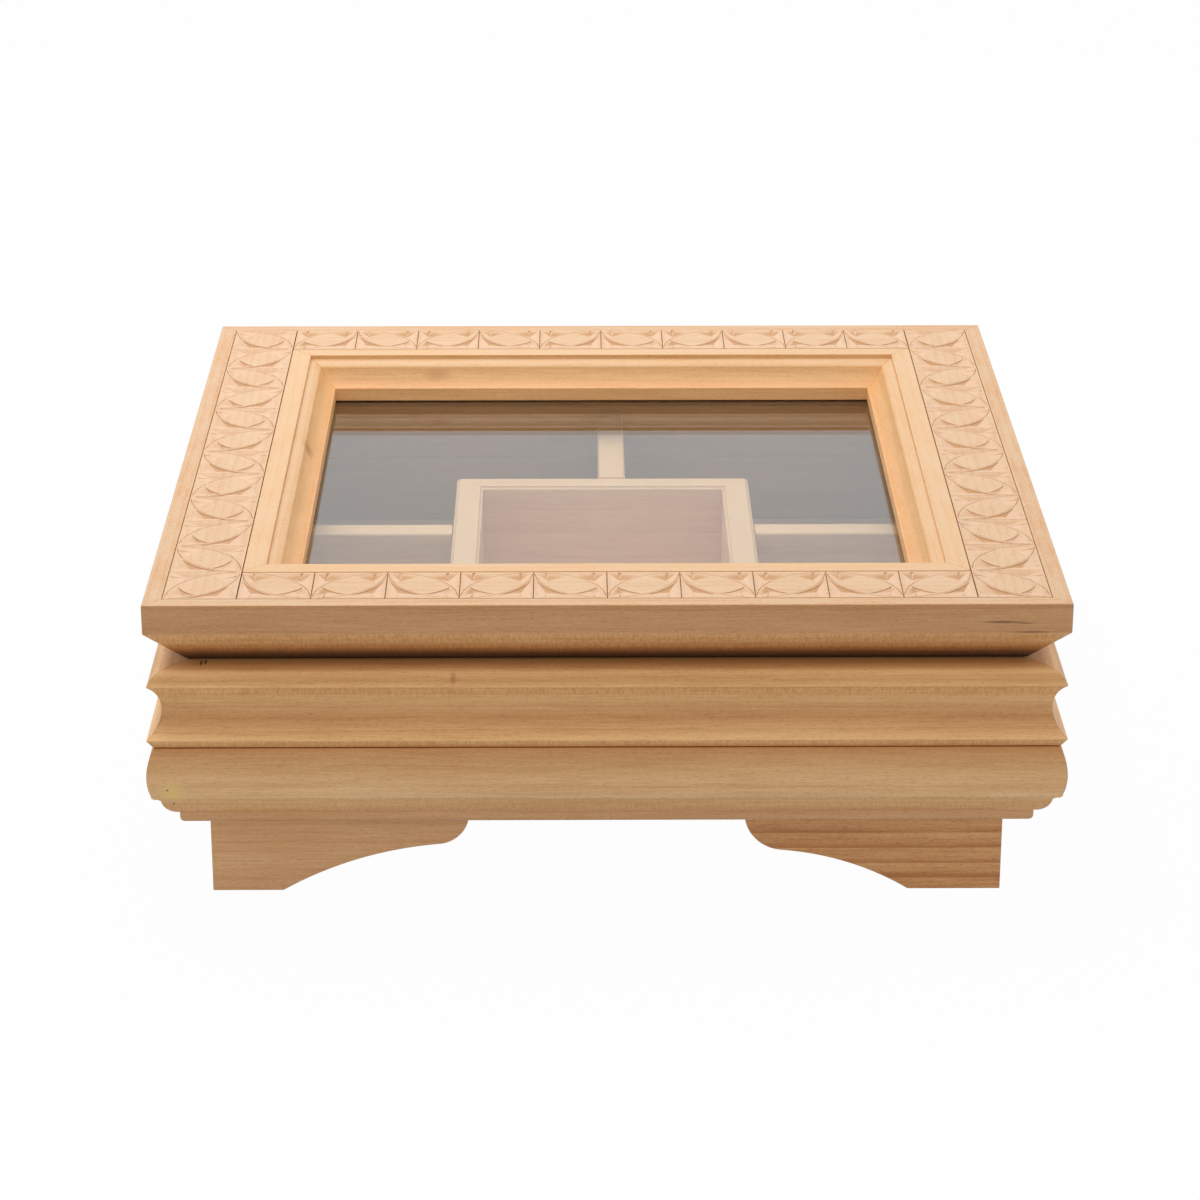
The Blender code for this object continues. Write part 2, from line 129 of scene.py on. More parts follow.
def maths(tree, operation, first, second):
    """The result of a Math node with two inputs."""
    return add_node(tree, "ShaderNodeMath", {0: first, 1: second}, operation=operation).outputs[0]


def dot(tree, first, second):
    """The dot product of two directions."""
    sockets = {0: first, 1: second}
    return add_node(tree, "ShaderNodeVectorMath", sockets, operation="DOT_PRODUCT").outputs["Value"]


def upright_part(tree, vector):
    """The Z of a place or a direction."""
    return add_node(tree, "ShaderNodeSeparateXYZ", {0: vector}).outputs["Z"]


def ramp(tree, value, low, high, start=0.0, end=1.0):
    """Turns values from low to high into a share from start to end."""
    sockets = {"Value": value, "From Min": low, "From Max": high, "To Min": start, "To Max": end}
    return add_node(tree, "ShaderNodeMapRange", sockets).outputs[0]


def new_material(name):
    material = bpy.data.materials.new(name)
    material.use_nodes = True
    material.node_tree.nodes.clear()
    return material


# %% [markdown]
# ## Floor, background and light
#
# The box stands on a pale table in front of white paper. A broad soft lamp hangs over it, a little
# to the left and behind, and the room is brighter overhead than at the height of the eye. So the tops
# look pale, the upright front stays in an even half shade, and the table fills the undersides from
# below. The camera, the glass and the polish see a plain white world, which keeps the background
# white without burning out the pale wood. The table hides most of its shadows from the camera.

# %% World and lamp
sky_low, sky_high = 0.63, 0.80
lamp_level = 0.48
lamp_place = Vector((-0.20, 0.30, 1.00))
lamp_size = 0.80
shadow_share = 0.02
table_grey = "#C8C8C8"
plain_white = "#FFFFFF"

world = bpy.data.worlds.new("white studio")
world.use_nodes = True
bpy.context.scene.world = world
tree = world.node_tree
tree.nodes.clear()
path = add_node(tree, "ShaderNodeLightPath")
seen = maths(tree, "MAXIMUM", path.outputs["Is Camera Ray"], path.outputs["Is Glossy Ray"])
seen = maths(tree, "MAXIMUM", seen, path.outputs["Is Transmission Ray"])
height = upright_part(tree, add_node(tree, "ShaderNodeTexCoord").outputs["Generated"])
level = ramp(tree, height, 0.0, 1.0, sky_low, sky_high)
soft = add_node(tree, "ShaderNodeBackground", {"Color": linear(plain_white), "Strength": level})
white = add_node(tree, "ShaderNodeBackground", {"Color": linear(plain_white), "Strength": 1.0})
both = add_node(tree, "ShaderNodeMixShader", {0: seen, 1: soft.outputs[0], 2: white.outputs[0]})
add_node(tree, "ShaderNodeOutputWorld", {"Surface": both.outputs[0]})

# lamp_level is the share of its own colour at which the lamp alone shows a level surface below it
lamp_data = bpy.data.lights.new("overhead lamp", "AREA")
lamp_data.shape = "SQUARE"
lamp_data.size = lamp_size
lamp_data.energy = lamp_level * math.pi**2 * (lamp_place.length_squared + lamp_size**2 / 4)
lamp = add_object("overhead lamp", lamp_data)
lamp.location = lamp_place

# %% Table
table_size = 3
floor_material = new_material("white table")
tree = floor_material.node_tree
path = add_node(tree, "ShaderNodeLightPath")
seen = maths(tree, "MAXIMUM", path.outputs["Is Camera Ray"], path.outputs["Is Glossy Ray"])
share = maths(tree, "MULTIPLY", seen, 1 - shadow_share)
paint = add_node(tree, "ShaderNodeBsdfDiffuse", {"Color": linear(table_grey)})
glow = add_node(tree, "ShaderNodeEmission", {"Color": linear(plain_white), "Strength": 1.0})
both = add_node(tree, "ShaderNodeMixShader", {0: share, 1: paint.outputs[0], 2: glow.outputs[0]})
add_node(tree, "ShaderNodeOutputMaterial", {"Surface": both.outputs[0]})

bm = bmesh.new()
bmesh.ops.create_grid(bm, x_segments=1, y_segments=1, size=table_size)
floor_mesh = mesh_of(bm, "table")
floor_mesh.materials.append(floor_material)
floor = add_object("table", floor_mesh)

# %% [markdown]
# ## Beech
#
# The wood is steamed beech under a thin clear oil. Its growth rings show as faint stripes along each
# board, its pores as short dark flecks, and slow clouds of colour run along the grain. The level faces
# get a colour of their own, most of them a paler and less orange one: painted light and sheen on the
# tops. All of it could be painted by hand, but a solid pattern is better here, because the carving cuts
# through it and every new face shows the right grain. The pattern is drawn along X. A Mapping node
# turns it for the boards that run the other way and moves it so that no two boards match.
#
# Each part of the pattern counts between two levels of its noise, up to its own share of the dark
# colour. The rays only show on faces that look down. How far a face looks down or up is the Z of its
# normal.

# %% Beech material
ring_spacing = 0.0032
ring_drift = 0.05
ring_sharpness = 3.0
streak_length = 0.0180
streak_width = 0.00045
pore_length = 0.0018
pore_width = 0.00025
ray_length = 0.0035
ray_width = 0.0007
cloud_length = 0.0700
cloud_width = 0.0060
cloud_range, cloud_share = (0.30, 0.72), 0.45
streak_range, streak_share = (0.32, 0.72), (-0.15, 0.35)
pore_range, pore_share = (0.50, 0.75), 0.7
ray_range, ray_share = (0.42, 0.68), 0.6
looks_down = (-0.25, -0.60)
# Faces that look up this far take the level colour, up to the share below: painted light and sheen on
# most tops, painted shade on the partitions.
looks_up = (0.55, 0.98)
level_shading_share = 0.85
polish_range, polish = (0.3, 0.8), (0.42, 0.56)
pore_drop = 0.00008
wave_period = math.tau / 20


def mixed(tree, share, under, over, **settings):
    """The colour over laid on the colour under, by a share."""
    sockets = {0: share, 6: under, 7: over}
    return add_node(tree, "ShaderNodeMix", sockets, data_type="RGBA", **settings).outputs[2]


def stretched(tree, vector, length, width):
    """Space with a pattern's length along the grain and its width across it as units."""
    sockets = {"Vector": vector, "Scale": (1 / length, 1 / width, 1 / width)}
    return add_node(tree, "ShaderNodeMapping", sockets).outputs[0]


def noise(tree, vector, detail):
    sockets = {"Vector": vector, "Scale": 1.0, "Detail": detail, "Roughness": 0.6}
    return add_node(tree, "ShaderNodeTexNoise", sockets).outputs[0]


def summed(tree, *values):
    """Adds up values, and keeps the total between 0 and 1."""
    total = values[0]
    for value in values[1:]:
        total = maths(tree, "ADD", total, value)
    total.node.use_clamp = True
    return total


def beech(
    name, shift, pale, dark, level_shading, rings=0.3, spacing=ring_spacing, turn=0.0, lean=18, finish_last=None
):
    """Oiled beech. shift moves the pattern, turn points the grain, lean tips the growth rings.

    The colour after dark is for level faces: painted light where it's paler, painted shade where darker.
    rings is the share of the dark colour in the growth rings.
    finish_last can change the colour before it's shaded.
    """
    material = new_material(name)
    tree = material.node_tree
    place = add_node(tree, "ShaderNodeTexCoord")
    board = add_node(
        tree,
        "ShaderNodeMapping",
        {"Vector": place.outputs["Object"], "Location": shift, "Rotation": (math.radians(lean), 0, turn)},
    ).outputs[0]
    slow = add_node(tree, "ShaderNodeMapping", {"Vector": board, "Scale": (ring_drift, 1, 1)})
    ring = add_node(
        tree,
        "ShaderNodeTexWave",
        {
            "Vector": slow.outputs[0],
            "Scale": wave_period / spacing,
            "Distortion": 3.5,
            "Detail": 2.0,
            "Detail Scale": 0.35,
            "Detail Roughness": 0.5,
        },
        wave_type="BANDS",
        bands_direction="Y",
        wave_profile="SAW",
    )
    late = maths(tree, "POWER", ring.outputs["Fac"], ring_sharpness)
    streak = noise(tree, stretched(tree, board, streak_length, streak_width), 2.0)
    pore = noise(tree, stretched(tree, board, pore_length, pore_width), 2.0)
    cloud = noise(tree, stretched(tree, board, cloud_length, cloud_width), 3.0)
    ray = noise(tree, stretched(tree, board, ray_width, ray_length), 1.0)
    facing = upright_part(tree, place.outputs["Normal"])
    ray_limit = ramp(tree, facing, *looks_down, 0, ray_share)
    total = summed(
        tree,
        ramp(tree, late, 0, 1, 0, rings),
        ramp(tree, cloud, *cloud_range, 0, cloud_share),
        ramp(tree, streak, *streak_range, *streak_share),
        ramp(tree, pore, *pore_range, 0, pore_share),
        ramp(tree, ray, *ray_range, 0, ray_limit),
    )
    colour = mixed(tree, total, linear(pale), linear(dark))
    # Level faces take the level colour: painted light and sheen on most boards, painted shade on the
    # partitions
    level = ramp(tree, facing, *looks_up, 0, level_shading_share)
    colour = mixed(tree, level, colour, mixed(tree, total, linear(level_shading), colour))
    if finish_last:
        colour = finish_last(tree, place, colour)
    bump = add_node(tree, "ShaderNodeBump", {"Height": pore, "Strength": 0.25, "Distance": pore_drop})
    surface = add_node(
        tree,
        "ShaderNodeBsdfPrincipled",
        {
            "Base Color": colour,
            "Roughness": ramp(tree, pore, *polish_range, *polish),
            "Normal": bump.outputs[0],
            "IOR": 1.50,
        },
    )
    add_node(tree, "ShaderNodeOutputMaterial", {"Surface": surface.outputs[0]})
    return material


# %% [markdown]
# Two more things make each board its own. Its tone changes with height, and this is mostly painted
# light and shade: painted highlights along the sharp edges and where the table's light bounces up,
# and painted shade under the lid, in the hollows, beside the joint and inside the box. It may also
# have marks: a knot, a streak, a nick, or a spot of yellow filler. A mark is a small cloud of colour
# in the wood, with a centre, three radii, a colour and a share.

# %% Tones and marks
# What the wood's colour is multiplied by: painted highlights, plain mid tones and painted shade
tones = {
    "full_highlight": "#FFFFFF",
    "bounce_light": "#F8F3F6",
    "painted_highlight": "#FFF6EC",
    "mid_tone": "#F2EAE0",
    "warm": "#F8DEBE",
    "dull": "#E8DCD2",
    "tan_tone": "#E8D6BE",
    "grey_tone": "#DACEC6",
    "painted_shade": "#D8BEA4",
    "joint_shade": "#DAB694",
    "deep_shade": "#8C7A76",
    "black_shade": "#1A1818",
}
# A face looks into the box where its normal points against its place. This is their dot product.
looks_in = (-0.02, -0.06)
mark_core = 0.3


def toned(stops, marks=(), inside=None):
    """A last step for a board. stops are heights from the table, in mm, with the name of a tone.

    inside is what the faces that look into the box are multiplied by instead, as painted shade.
    """
    low, high = stops[0][0], stops[-1][0]

    def last_step(tree, place, colour):
        height = upright_part(tree, place.outputs["Object"])
        node = add_node(tree, "ShaderNodeValToRGB", {0: ramp(tree, height, low / 1000, high / 1000)})
        elements = node.color_ramp.elements
        for i, (level, tone) in enumerate(stops):
            at = (level - low) / (high - low)
            element = elements[0] if i == 0 else elements[-1] if at == 1 else elements.new(at)
            element.color = linear(tones[tone])
        tone = node.outputs[0]
        if inside:
            outward = dot(tree, place.outputs["Normal"], place.outputs["Object"])
            tone = mixed(tree, ramp(tree, outward, *looks_in), tone, linear(inside))
        colour = mixed(tree, 1.0, colour, tone, blend_type="MULTIPLY")
        for centre, radii, tone, share in marks:
            scale = [1 / radius for radius in radii]
            start = [-part * factor for part, factor in zip(centre, scale)]
            near = {"Vector": place.outputs["Object"], "Location": start, "Scale": scale}
            near = add_node(tree, "ShaderNodeMapping", near).outputs[0]
            far = add_node(tree, "ShaderNodeVectorMath", {0: near}, operation="LENGTH").outputs["Value"]
            colour = mixed(tree, ramp(tree, far, 1.0, mark_core, 0, share), colour, linear(tone))
        return colour

    return last_step


# %% [markdown]
# ## Boards with a moulded section
#
# Every rail, moulding and bead of the box is a straight stick with a shaped section and a mitre at
# each end. In the workshop a cutter runs along the board and a saw cuts the corners. The same two
# steps work in a mesh: the section is drawn once, point by point, with each curve spun about its own
# centre, then it's extruded along X and cut by two slanting planes. A bevel softens the hard edges,
# as the sanding does.

# %% Moulded stick
sides = ("front", "right", "back", "left")
quarter = math.pi / 2
lid_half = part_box("lid_rail_front")[1].x
overrun = 0.002
mitre_gap = 0.0001
seat_gap = 0.0003
weld = 0.000005
curve_steps = 12


def spun(bm, start, centre, end, axis, steps):
    """Spins a vertex from start about centre until it meets end."""
    start_spoke = start.co - centre
    end_spoke = end - centre
    turn = start_spoke.angle(end_spoke)
    if start_spoke.cross(end_spoke).dot(axis) < 0:
        turn = -turn
    bmesh.ops.spin(bm, geom=[start], cent=centre, axis=axis, angle=turn, steps=steps)


def bow_centre(start, end, rise, axis):
    """The centre of the arc that stands rise off the chord, on the left of the way round axis."""
    chord = end - start
    left = axis.cross(chord).normalized()
    radius = (chord.length_squared / 4 + rise * rise) / (2 * abs(rise))
    return (start + end) / 2 + left * (rise - math.copysign(radius, rise))


def section(bm, points, steps):
    """Draws a closed section of insets and heights. A third number is the rise of the arc to it."""
    axis = Vector((1, 0, 0))
    corners = [Vector((-lid_half - overrun, -lid_half + point[0], point[1])) for point in points]
    for i, point in enumerate(points):
        start, end = corners[i - 1], corners[i]
        first = bm.verts.new(start)
        if len(point) == 3:
            spun(bm, first, bow_centre(start, end, point[2], axis), end, axis, steps)
        else:
            bm.edges.new((first, bm.verts.new(end)))
    bmesh.ops.remove_doubles(bm, verts=bm.verts, dist=weld)
    return bmesh.ops.contextual_create(bm, geom=bm.edges[:])["faces"]


def cut_end(bm, normal, distance):
    """Cuts the mesh by a plane, keeps what lies behind it, and closes the cut."""
    normal = Vector(normal).normalized()
    everything = bm.verts[:] + bm.edges[:] + bm.faces[:]
    cut = bmesh.ops.bisect_plane(
        bm, geom=everything, dist=weld, plane_co=normal * distance, plane_no=normal, clear_outer=True
    )
    rim = [part for part in cut["geom_cut"] if isinstance(part, bmesh.types.BMEdge)]
    bmesh.ops.holes_fill(bm, edges=rim, sides=0)


def stick(points, steps):
    """A mitred stick along the front."""
    bm = bmesh.new()
    faces = section(bm, points, steps)
    far = verts_in(bmesh.ops.extrude_face_region(bm, geom=faces)["geom"])
    bmesh.ops.translate(bm, verts=far, vec=(2 * (lid_half + overrun), 0, 0))
    cut_end(bm, (1, 1, 0), -mitre_gap / 2)
    cut_end(bm, (-1, 1, 0), -mitre_gap / 2)
    bmesh.ops.recalc_face_normals(bm, faces=bm.faces)
    return bm


# %% [markdown]
# A finished piece gets its mesh, its material, a soft edge and the body that it rides on, and the
# imported solid that it stands for is hidden. One function does that for all of them. The object stays
# at the origin and its place is in its mesh, so that patterns on Object coordinates keep their size
# and direction.

# %% Finish a piece
smooth_angle = math.radians(14)
edge_round = 0.0003
mitre_tolerance = 0.01


def block(low, high):
    """A plain box between two corners, to shape further or to cut with."""
    bm = bmesh.new()
    size = Vector(high) - Vector(low)
    place = Matrix.Translation((Vector(low) + Vector(high)) / 2) @ Matrix.Diagonal((*size, 1))
    bmesh.ops.create_cube(bm, size=1, matrix=place)
    return bm


def ease(bm, edges, width, steps):
    """Cuts edges off at a slant, in one step, or rounds them over in more."""
    bmesh.ops.bevel(
        bm, geom=edges, offset=width, affect="EDGES", segments=steps, profile=0.5, material=-1
    )


def cut_away(piece, low, high):
    """Cuts a box out of a piece with a Boolean modifier that is applied at once."""
    cutter = add_object("cutter", mesh_of(block(low, high), "cutter"))
    piece.modifiers.new("cut", "BOOLEAN").object = cutter
    graph = bpy.context.evaluated_depsgraph_get()
    piece.data = bpy.data.meshes.new_from_object(piece.evaluated_get(graph))
    piece.modifiers.clear()
    bpy.data.objects.remove(cutter)


def mark_edges(bm):
    """Marks the edges to sand. Those of a mitre stay crisp, so that the joint closes to a hairline."""
    weight = bm.edges.layers.float.new("bevel_weight_edge")
    bm.normal_update()
    for edge in bm.edges:
        normals = [face.normal for face in edge.link_faces]
        off_mitre = min(abs(abs(normal.x) - abs(normal.y)) + abs(normal.z) for normal in normals)
        if edge.calc_face_angle(0) > smooth_angle and off_mitre > mitre_tolerance:
            edge[weight] = 1


def finish(
    bm, name, material, body, nodes, turn=0.0, round_by=edge_round, cuts=(), crease=smooth_angle
):
    """Makes a piece of the mesh and puts it in the frame. The bmesh is freed."""
    mark_edges(bm)
    mesh = mesh_of(bm, name)
    mesh.transform(Matrix.Rotation(turn, 4, "Z"))
    mesh.materials.append(material)
    piece = add_object(name, mesh)
    for low, high in cuts:
        cut_away(piece, low, high)
    piece.data.shade_smooth()
    piece.data.set_sharp_from_angle(angle=crease)
    if round_by:
        bevel = piece.modifiers.new("sanded edges", "BEVEL")
        bevel.width = round_by
        bevel.segments = 2
        bevel.limit_method = "WEIGHT"
        bevel.harden_normals = True
    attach(piece, body)
    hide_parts(*nodes)
    return piece


def ring(points, kind, node, body, slot, look, steps=curve_steps, back_cuts=()):
    """Four mitred sticks of one section, each with its own piece of wood."""
    for i, side in enumerate(sides):
        shift = (0.13 * i, 0.071 * i + 0.013, 0.029 * i)
        wood = beech(f"beech {side} {kind}", shift, turn=-quarter * (i % 2), **look)
        name, nodes = f"{side}_{kind}", [f"{node}_{side}"]
        cuts = back_cuts if side == "back" else ()
        piece = finish(stick(points, steps), name, wood, body, nodes, quarter * i, cuts=cuts)
        print(piece.name, len(piece.data.polygons), "faces")


# %% [markdown]
# ## Room for the hinges
#
# Two small brass butt hinges join the lid to the back wall. A joiner chisels shallow pockets, the
# gains, for their leaves, so that the lid shuts close to the rim, and a deeper notch behind for the
# round barrel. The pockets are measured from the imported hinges, and the back pieces are cut with them
# when they're made.

# %% Gains
leaf_thickness = 0.0010
gain_depth = leaf_thickness + 1.5 * seat_gap


def gains(up):
    """The pockets for both hinges, as boxes. up is 1 in the lid and -1 in the rim."""
    boxes = []
    for hand in ("left", "right"):
        low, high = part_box(f"hinge_{hand}_box_leaf")
        pin_low, pin_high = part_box(f"hinge_{hand}_pin")
        axis = (pin_low + pin_high) / 2
        back = lid_half + overrun
        floor_and_mouth = sorted((axis.z + up * gain_depth, axis.z - up * overrun))
        starts = (low.x - seat_gap, low.y - seat_gap, floor_and_mouth[0])
        boxes.append((starts, (high.x + seat_gap, back, floor_and_mouth[1])))
        if up < 0:
            clear = high.y - axis.y + seat_gap
            starts = (pin_low.x - seat_gap, axis.y - clear, axis.z - clear)
            boxes.append((starts, (pin_high.x + seat_gap, back, axis.z + overrun)))
    return boxes


print("gains in the rim:", len(gains(-1)), "and in the lid:", len(gains(1)))

# %% [markdown]
# ## Lid rails
#
# The rail is the thick outer frame of the lid. It's square at its top edge and slopes back under
# itself, so the lid seems to float over the box in its own shadow. A groove along its top takes the
# carved band, and a step inside takes the sight moulding.

# %% Lid rails
lid_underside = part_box("lid_rail_front")[0].z
lid_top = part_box("lid_rail_front")[1].z
band_width = 0.0240
lid_border = 0.0060
band_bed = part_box("carved_band_front")[0].z - seat_gap
sight_inset = lid_border + band_width
shelf = lid_top - 0.0107
rebate_inset = 0.0383
lid_face_foot = lid_top - 0.0100
slope_inset = 0.0126

rail_points = [
    (0, lid_top),
    (lid_border, lid_top),
    (lid_border, band_bed),
    (sight_inset, band_bed),
    (sight_inset, shelf),
    (rebate_inset, shelf),
    (rebate_inset, lid_underside),
    (slope_inset, lid_underside),
    (0, lid_face_foot),
]
# Painted shade darkens the slope under the lid to black at its foot, and a painted highlight runs along
# the arris at 99.9 mm.
rail_tones = [
    (86.5, "black_shade"),
    (90.0, "deep_shade"),
    (92.5, "painted_shade"),
    (95.0, "mid_tone"),
    (99.9, "full_highlight"),
    (100.2, "grey_tone"),
    (109.6, "grey_tone"),
    (110.0, "tan_tone"),
]
rail_marks = [
    ((0.1272, -0.1506, 0.1038), (0.0085, 0.0040, 0.0006), "#5E3C22", 0.8),
    ((0.1368, -0.1506, 0.1003), (0.0080, 0.0040, 0.0005), "#5E3C22", 0.7),
    ((0.1345, -0.1506, 0.1034), (0.0045, 0.0040, 0.0004), "#5E3C22", 0.6),
]
rail_colours = {"pale": "#FACA92", "dark": "#DBA56C", "level_shading": "#E5DCD0"}
rail_look = {**rail_colours, "finish_last": toned(rail_tones, rail_marks)}
ring(rail_points, "lid_rail", "lid_rail", "lid", "lid_wood", rail_look, back_cuts=gains(1))

# %% [markdown]
# ## Carved bands
#
# The bands are strips of chip carving. Each square has four arcs, one about each corner, that leave a
# flat curved square in the middle. Two of the arcs have a fine line cut along them and make the
# almond that leans one way and then the other. Between the arcs the carver takes out four shallow
# chips, two in the tips of the almond and two outside it. A texture could fake the chips, but light
# falls into real ones, so each chip is modelled: its outline is spun about the corners, one arc is
# stabbed straight down, the rest is filled and poked, and the poked point is pushed down. One more
# point of the rim, the notch, lies low, where the knife ran out.

# %% Geometry of one carved square
tile_side = 0.0240
tile_margin = 0.0004
motif = tile_side - 2 * tile_margin
line_strip = 0.0013
ridge = 0.00014
groove_width = 0.00030
groove_depth = 0.00040
stab_depth = 0.00030
chip_depth = 0.0007
notch_depth = 0.0005
chip_crease = math.radians(3.5)
tip_deepest = Vector((0.0041, 0.0060, 0))
corner_deepest = Vector((0.0196, 0.0062, 0))
tip_notch = 0.0036
corner_notch = 0.0038
flat_tip = 0.0098
flat_bow = 0.0008
chip_steps = 8
groove_lead = math.radians(4)
upward = Vector((0, 0, 1))
near_left = Vector((0, 0, 0))
near_right = Vector((motif, 0, 0))
far_right = Vector((motif, motif, 0))
far_left = Vector((0, motif, 0))


def meet(circle, other, hint):
    """Where two circles cross, next to hint. A circle is a centre and a radius."""
    (centre, radius), (far_centre, far_radius) = circle, other
    gap = far_centre - centre
    along = (radius**2 - far_radius**2 + gap.length_squared) / (2 * gap.length)
    across = math.sqrt(max(0, radius**2 - along**2))
    middle = centre + gap.normalized() * along
    offset = upward.cross(gap).normalized() * across
    return min((middle + offset, middle - offset), key=lambda point: (point - hint).length)


def on_circle(centre, radius, x):
    """The point of a circle at x, on the near side of its centre."""
    return Vector((x, centre.y - math.sqrt(radius**2 - (x - centre.x) ** 2), 0))


def chip(bm, rim, stabbed, deepest, notch):
    """Cuts a chip. rim lists each corner with the centre of the arc that follows it, or None.

    Without a centre the side is straight. The arc after the corner numbered stabbed gets an upright
    wall, deepest is where the chip goes lowest, and the corner numbered notch is lowered.
    """
    made, wall = [], []
    for i, (start, centre) in enumerate(rim):
        end = rim[(i + 1) % len(rim)][0]
        before = set(bm.verts)
        first = bm.verts.new(start)
        if centre is None:
            bm.edges.new((first, bm.verts.new(end)))
        else:
            spun(bm, first, centre, end, upward, chip_steps)
        verts = [vert for vert in bm.verts if vert not in before]
        made += verts
        if i == stabbed:
            wall = list({edge for vert in verts for edge in vert.link_edges})
    fallen = verts_in(bmesh.ops.extrude_edge_only(bm, edges=wall)["geom"])
    bmesh.ops.translate(bm, verts=fallen, vec=-upward * stab_depth)
    bmesh.ops.remove_doubles(bm, verts=made + fallen, dist=weld)
    verts = [vert for vert in made + fallen if vert.is_valid]
    edges = {edge for vert in verts for edge in vert.link_edges}
    open_edges = [
        edge for edge in edges if not edge.link_faces or (edge.is_boundary and edge not in wall)
    ]
    faces = bmesh.ops.contextual_create(bm, geom=open_edges)["faces"]
    peak = bmesh.ops.poke(bm, faces=faces)["verts"][0]
    peak.co = deepest - upward * chip_depth
    low = min(verts, key=lambda vert: (vert.co - rim[notch][0]).length)
    low.co.z -= notch_depth


def line_groove(bm, centre, start_angle):
    """A fine V groove along the arc about a corner, nearly from corner to corner."""
    radii = (motif - groove_width / 2, motif, motif + groove_width / 2)
    drops = (0, groove_depth, 0)
    start = start_angle + groove_lead
    aim = Vector((math.cos(start), math.sin(start), 0))
    profile = [bm.verts.new(centre + aim * radius - upward * drop) for radius, drop in zip(radii, drops)]
    edges = [bm.edges.new(pair) for pair in zip(profile, profile[1:])]
    turn = quarter - 2 * groove_lead
    end = bmesh.ops.spin(
        bm, geom=profile + edges, cent=centre, axis=upward, angle=turn, steps=4 * chip_steps
    )
    for row in (profile, verts_in(end["geom_last"])):
        bmesh.ops.contextual_create(bm, geom=row)


def carved_square(kerf_width, kerf_depth):
    """One square whose almond runs from the near left corner to the far right one."""
    bm = bmesh.new()
    half, tip = line_strip / 2, ridge / 2
    inner, outer = motif - half, motif + half

    # The chip in the almond's near left tip: its three corners and the notch in its near edge
    point = meet((far_left, inner), (near_right, inner), near_left)
    left = Vector((motif - math.sqrt(inner**2 - flat_tip**2), flat_tip, 0))
    right = meet((far_left, inner), (far_right, motif + tip), near_right)
    notch = on_circle(far_left, inner, tip_notch)
    bow = bow_centre(left, right, -flat_bow, upward)
    rim = [(point, near_right), (left, bow), (right, far_left), (notch, far_left)]
    chip(bm, rim, 1, tip_deepest, 3)

    # The chip in the near right corner, outside the almond
    top = Vector((motif, motif - math.sqrt(outer**2 - motif**2), 0))
    corner = on_circle(far_right, motif - tip, motif)
    left = meet((far_left, outer), (far_right, motif - tip), near_left)
    notch = on_circle(far_right, motif - tip, motif - corner_notch)
    rim = [(top, None), (corner, far_right), (notch, far_right), (left, far_left)]
    chip(bm, rim, 3, corner_deepest, 2)

    # The same two again at the far side, turned about the middle
    made = verts_in(bmesh.ops.duplicate(bm, geom=bm.verts[:] + bm.edges[:] + bm.faces[:])["geom"])
    middle = (near_left + far_right) / 2
    bmesh.ops.rotate(bm, verts=made, cent=middle, matrix=Matrix.Rotation(math.pi, 3, "Z"))
    line_groove(bm, far_left, -quarter)
    line_groove(bm, near_right, quarter)

    # The flat wood between the chips, and half a saw cut at each end of the square
    bmesh.ops.translate(bm, verts=bm.verts, vec=(tile_margin, tile_margin, 0))
    outlines = [edge for edge in bm.edges if edge.is_boundary]
    low, high = kerf_width / 2, tile_side - kerf_width / 2
    places = ((low, 0), (high, 0), (high, tile_side), (low, tile_side))
    corners = [bm.verts.new((*place, 0)) for place in places]
    border = [bm.edges.new((corners[i - 1], vert)) for i, vert in enumerate(corners)]
    bmesh.ops.triangle_fill(bm, edges=outlines + border, use_beauty=True, normal=upward)
    for edge, level in ((border[0], 0), (border[2], tile_side)):
        for vert in verts_in(bmesh.ops.extrude_edge_only(bm, edges=[edge])["geom"]):
            vert.co.x = level
            vert.co.z = -kerf_depth
    bmesh.ops.recalc_face_normals(bm, faces=bm.faces)
    return bm


# %% [markdown]
# A band is a row of such squares. Every second one is mirrored, so that the almonds zigzag. The row's
# outer edges are drawn down to the bed of the groove to give the strip its thickness.

# %% Carved bands
cut_pale = "#E2BB9B"
# The cut slopes that face the front get a darker orange, painted shade. The two ranges bring it in on
# gentle slopes and take it out again on steep walls.
cut_front_shade = "#BB8449"
shade_aim = (0.1, -0.99, 0.0)
shade_from = (0.02, 0.10)
shade_to = (0.24, 0.15)
cut_starts = 0.00005
cut_full = 0.00030
cut_share = 0.75
band_colours = {"pale": "#DDB58B", "dark": "#CB9C6F", "level_shading": "#DDBA96"}


def cut_wood(tree, place, colour):
    """Colours the wood below the lid's top, which is freshly cut.

    The knife left it smooth and pale, which is partly the fresh wood and partly a painted sheen. The
    gentle slopes that face the front get a darker orange instead, which is painted shade.
    """
    height = upright_part(tree, place.outputs["Object"])
    facing = dot(tree, place.outputs["Normal"], shade_aim)
    front_shade = maths(tree, "MULTIPLY", ramp(tree, facing, *shade_from), ramp(tree, facing, *shade_to))
    cut = mixed(tree, front_shade, linear(cut_pale), linear(cut_front_shade))
    below = ramp(tree, height, lid_top - cut_starts, lid_top - cut_full, 0, cut_share)
    return mixed(tree, below, colour, cut)


